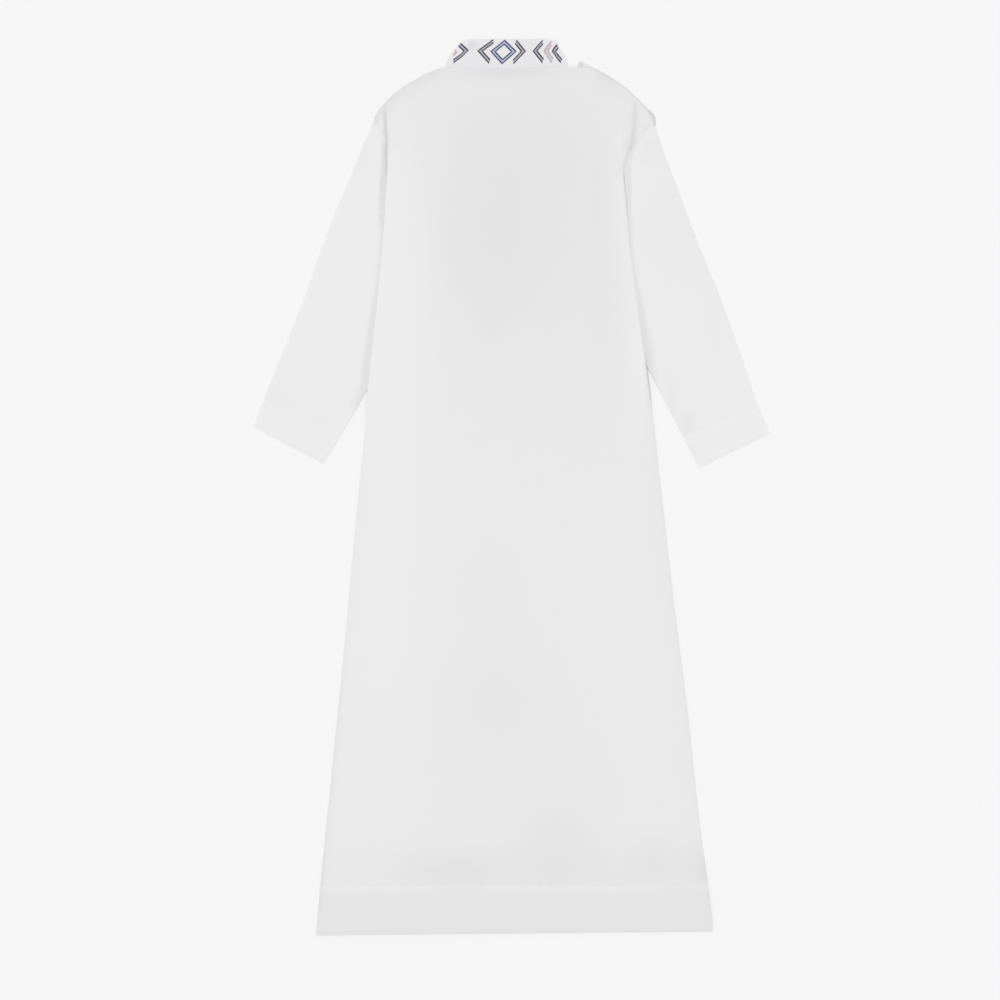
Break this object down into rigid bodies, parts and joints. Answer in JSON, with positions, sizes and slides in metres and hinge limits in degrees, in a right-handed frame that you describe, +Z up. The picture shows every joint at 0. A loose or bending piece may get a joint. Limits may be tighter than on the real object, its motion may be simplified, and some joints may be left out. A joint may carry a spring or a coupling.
{
  "type": "ankle-length robe",
  "caption": "Ankle-length robe with stand collar and long cuffed sleeves, laid flat with its back up, sleeves angled down beside a flared body with a deep turned hem.",
  "frame": {"origin": "centre of the overall box in X and Y, at the rest face on the underside of the front panel", "axes": "+Y from the hem to the collar, +Z up out of the back panel, +X towards the wearer's right sleeve"},
  "size_m": [0.8476, 1.4724, 0.0071],
  "materials": {
    "robe_cloth": "plain fine weave, matt white",
    "collar_cloth": "plain fine weave, matt white with a cool tint, embroidered border"
  },
  "bodies": {
    "root": {"back": "robe_cloth", "front": "robe_cloth", "sleeve_left": "robe_cloth", "sleeve_right": "robe_cloth", "cuff_left": "robe_cloth", "cuff_right": "robe_cloth", "collar": "collar_cloth", "placket": "robe_cloth"}
  },
  "joints": []
}
